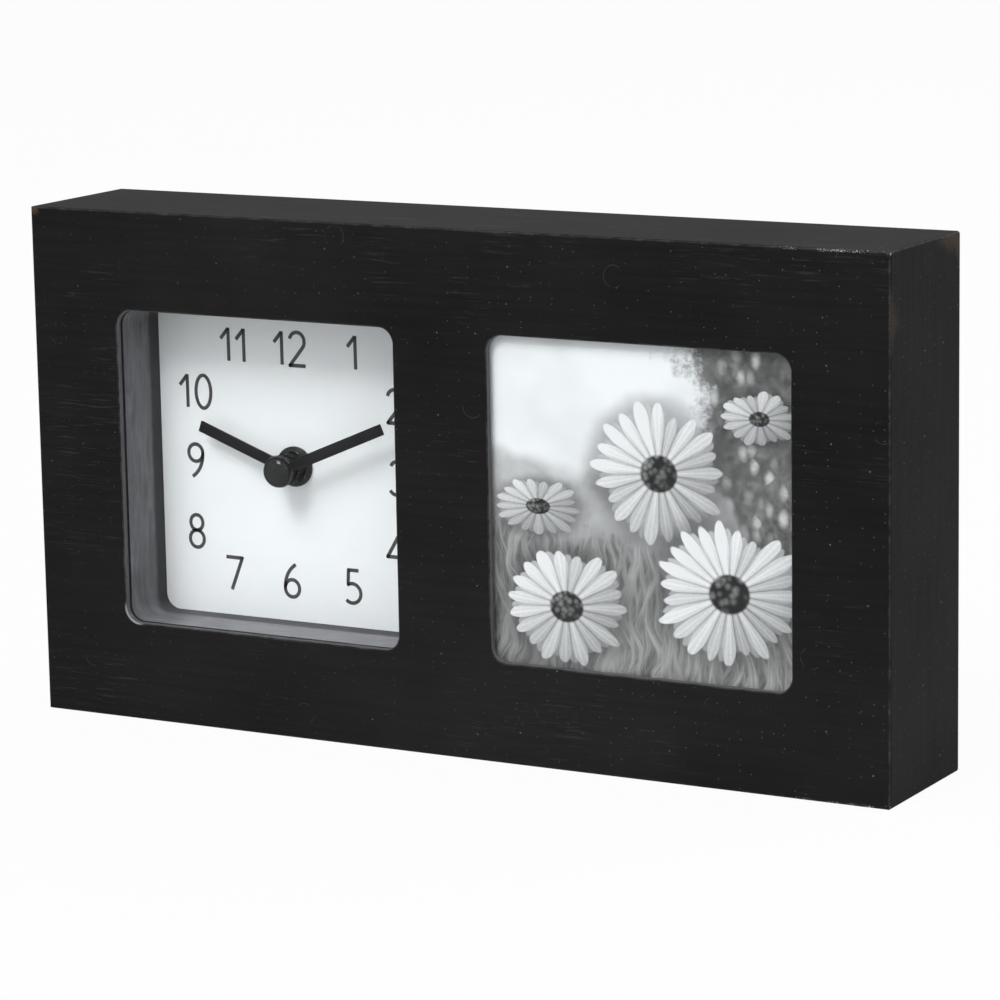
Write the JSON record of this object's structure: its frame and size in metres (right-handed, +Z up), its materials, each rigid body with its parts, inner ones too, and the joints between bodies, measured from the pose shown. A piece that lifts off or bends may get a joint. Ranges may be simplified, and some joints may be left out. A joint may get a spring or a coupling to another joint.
{
  "type": "photo frame clock",
  "caption": "Deep rectangular black frame with an analogue quartz clock behind the left square window and a square photo behind the right.",
  "frame": {"origin": "middle of the flat base that it stands on", "axes": "+X to the right along the front, +Y from the front to the open back, +Z up"},
  "size_m": [0.207, 0.035, 0.114],
  "materials": {
    "black_paint": "satin black brushed paint over fibreboard with worn edges",
    "surround_paint": "grey brushed paint inside the recess",
    "clear_pane": "clear, polished",
    "dial_card": "smooth white printed card",
    "hardboard": "brown pressed hardboard",
    "zinc": "bright zinc plate",
    "print_paper": "semi-gloss grey-tone print",
    "filler_foam": "grey filler board",
    "rubber_black": "matt black",
    "nut_black": "glossy black",
    "hand_black": "fine-textured black lacquer",
    "cap_black": "glossy black",
    "case_black": "moulded black, fine texture",
    "bridge_white": "moulded natural",
    "gear_plastic": "moulded ivory",
    "rotor_magnet": "dark sintered magnet",
    "soft_iron": "stamped sheet",
    "copper": "enamelled copper wire",
    "board_green": "green circuit board",
    "nickel": "nickel-plated spring strip",
    "cell_wrap": "printed-film wrap, plain"
  },
  "bodies": {
    "frame": {"front_board": "black_paint", "top_rail": "black_paint", "bottom_rail": "black_paint", "left_rail": "black_paint", "right_rail": "black_paint", "clock_glass": "clear_pane", "clock_surround": "surround_paint", "dial": "dial_card", "dial_board": "hardboard", "dial_board_screws": "zinc", "photo_glass": "clear_pane", "photo_print": "print_paper", "photo_spacer": "filler_foam", "photo_back": "hardboard", "button_screws": "zinc", "rubber_washer": "rubber_black", "hub_nut": "nut_black", "movement_case": "case_black", "movement_cover": "case_black", "gear_bridge": "bridge_white", "stator": "soft_iron", "coil_core": "soft_iron", "coil_bobbin": "gear_plastic", "coil_winding": "copper", "circuit_board": "board_green", "quartz_crystal": "nickel", "positive_contact": "nickel", "negative_contact": "nickel"},
    "minute": {"minute_arbor": "gear_plastic", "minute_hand": "hand_black", "hand_cap": "cap_black"},
    "hour": {"hour_wheel": "gear_plastic", "hour_hand": "hand_black"},
    "motion": {"motion_wheel": "gear_plastic"},
    "knob": {"setting_knob": "case_black"},
    "rotor": {"rotor": "rotor_magnet"},
    "step": {"step_wheel": "gear_plastic"},
    "seconds": {"seconds_wheel": "gear_plastic"},
    "third": {"third_wheel": "gear_plastic"},
    "centre": {"centre_wheel": "gear_plastic"},
    "cell": {"battery": "cell_wrap"},
    "button_top": {"turn_button_top": "zinc"},
    "button_bottom": {"turn_button_bottom": "zinc"},
    "button_left": {"turn_button_left": "zinc"},
    "button_right": {"turn_button_right": "zinc"}
  },
  "joints": [
    {"name": "minute_turn", "type": "hinge", "parent": "frame", "child": "minute", "pos_m": [-0.0465, -0.001, 0.057], "axis": [0, 1, 0], "continuous": true},
    {"name": "hour_turn", "type": "hinge", "parent": "frame", "child": "hour", "pos_m": [-0.0465, -0.001, 0.057], "axis": [0, 1, 0], "continuous": true},
    {"name": "motion_turn", "type": "hinge", "parent": "frame", "child": "motion", "pos_m": [-0.05429, 0.004, 0.0615], "axis": [0, 1, 0], "continuous": true},
    {"name": "knob_turn", "type": "hinge", "parent": "frame", "child": "knob", "pos_m": [-0.05879, 0.01, 0.06929], "axis": [0, 1, 0], "continuous": true},
    {"name": "rotor_turn", "type": "hinge", "parent": "frame", "child": "rotor", "pos_m": [-0.03478, 0.013, 0.05758], "axis": [0, 1, 0], "continuous": true},
    {"name": "step_turn", "type": "hinge", "parent": "frame", "child": "step", "pos_m": [-0.03992, 0.011, 0.05461], "axis": [0, 1, 0], "continuous": true},
    {"name": "seconds_turn", "type": "hinge", "parent": "frame", "child": "seconds", "pos_m": [-0.0465, 0.01, 0.057], "axis": [0, 1, 0], "continuous": true},
    {"name": "third_turn", "type": "hinge", "parent": "frame", "child": "third", "pos_m": [-0.0411, 0.007, 0.06635], "axis": [0, 1, 0], "continuous": true},
    {"name": "centre_turn", "type": "hinge", "parent": "frame", "child": "centre", "pos_m": [-0.0465, 0.006, 0.057], "axis": [0, 1, 0], "continuous": true},
    {"name": "cell_slide", "type": "slide", "parent": "frame", "child": "cell", "axis": [0, 1, 0], "range_m": [0, 0.02]},
    {"name": "button_top_turn", "type": "hinge", "parent": "frame", "child": "button_top", "pos_m": [0.0465, -0.0003, 0.1005], "axis": [0, 1, 0], "range_deg": [-90, 90]},
    {"name": "button_bottom_turn", "type": "hinge", "parent": "frame", "child": "button_bottom", "pos_m": [0.0465, -0.0003, 0.0135], "axis": [0, 1, 0], "range_deg": [-90, 90]},
    {"name": "button_left_turn", "type": "hinge", "parent": "frame", "child": "button_left", "pos_m": [0.003, -0.0003, 0.057], "axis": [0, 1, 0], "range_deg": [-90, 90]},
    {"name": "button_right_turn", "type": "hinge", "parent": "frame", "child": "button_right", "pos_m": [0.09, -0.0003, 0.057], "axis": [0, 1, 0], "range_deg": [-90, 90]}
  ],
  "couplings": [
    {"joint": "hour_turn", "follows": "minute_turn", "ratio": 0.083333},
    {"joint": "motion_turn", "follows": "minute_turn", "ratio": -0.33333},
    {"joint": "knob_turn", "follows": "minute_turn", "ratio": 1},
    {"joint": "step_turn", "follows": "rotor_turn", "ratio": -0.2},
    {"joint": "seconds_turn", "follows": "rotor_turn", "ratio": 0.033333},
    {"joint": "third_turn", "follows": "rotor_turn", "ratio": -0.0044444},
    {"joint": "centre_turn", "follows": "rotor_turn", "ratio": 0.00055556}
  ]
}
